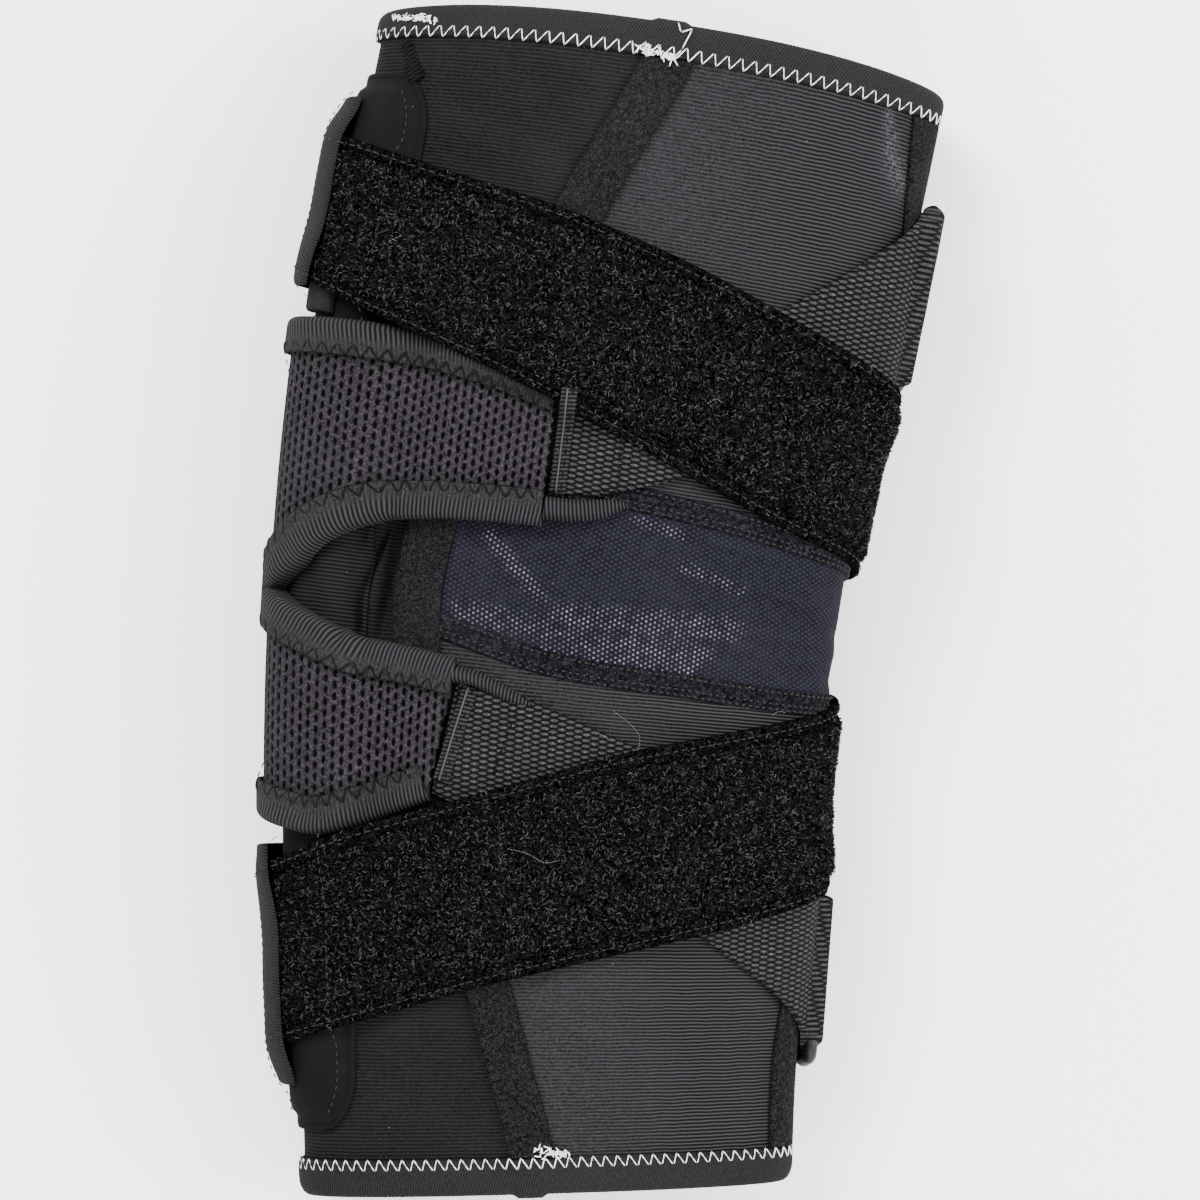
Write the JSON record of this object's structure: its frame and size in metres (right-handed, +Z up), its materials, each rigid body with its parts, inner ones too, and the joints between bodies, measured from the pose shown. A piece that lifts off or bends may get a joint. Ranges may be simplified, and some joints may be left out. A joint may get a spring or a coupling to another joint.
{
  "type": "knee support with patella opening",
  "caption": "Wrap-on knee support sleeve with a patella opening, side stay pockets, a spacer mesh frame and fleece straps, lying with its patella side down.",
  "frame": {"origin": "middle of the bounding box at the base, on the surface the support lies on", "axes": "+Y along the sleeve toward the thigh end, +Z up out of the rear of the knee, +X toward the fold where the rings sit"},
  "size_m": [0.191, 0.3492, 0.0818],
  "materials": {
    "jersey": "ribbed knit over foam",
    "popliteal_mesh": "fine perforated knit",
    "loop_tape": "loop pile tape",
    "ribbed_binding": "ribbed knit binding",
    "pocket_cover": "smooth matt jersey",
    "spacer_mesh": "spacer mesh",
    "elastic_webbing": "coarse woven elastic",
    "fleece": "brushed loop pile",
    "ring_plastic": "moulded matt plastic"
  },
  "bodies": {
    "root": {"front_shell": "jersey", "rear_panel_upper": "jersey", "popliteal_panel": "popliteal_mesh", "rear_panel_lower": "jersey", "hem_bottom": "ribbed_binding", "hem_top": "ribbed_binding", "seam_tape_left": "loop_tape", "seam_tape_right": "loop_tape", "stay_pocket_left": "pocket_cover", "stay_pocket_right": "pocket_cover", "patella_frame": "spacer_mesh", "frame_binding_notch": "ribbed_binding", "frame_binding_top": "ribbed_binding", "frame_binding_bottom": "ribbed_binding", "patella_binding": "ribbed_binding", "frame_gusset": "ribbed_binding", "webbing_upper": "elastic_webbing", "webbing_lower": "elastic_webbing", "ring_upper": "ring_plastic", "ring_lower": "ring_plastic", "strap_upper": "fleece", "strap_lower": "fleece", "keeper_upper": "ribbed_binding", "keeper_lower": "ribbed_binding"}
  },
  "joints": []
}
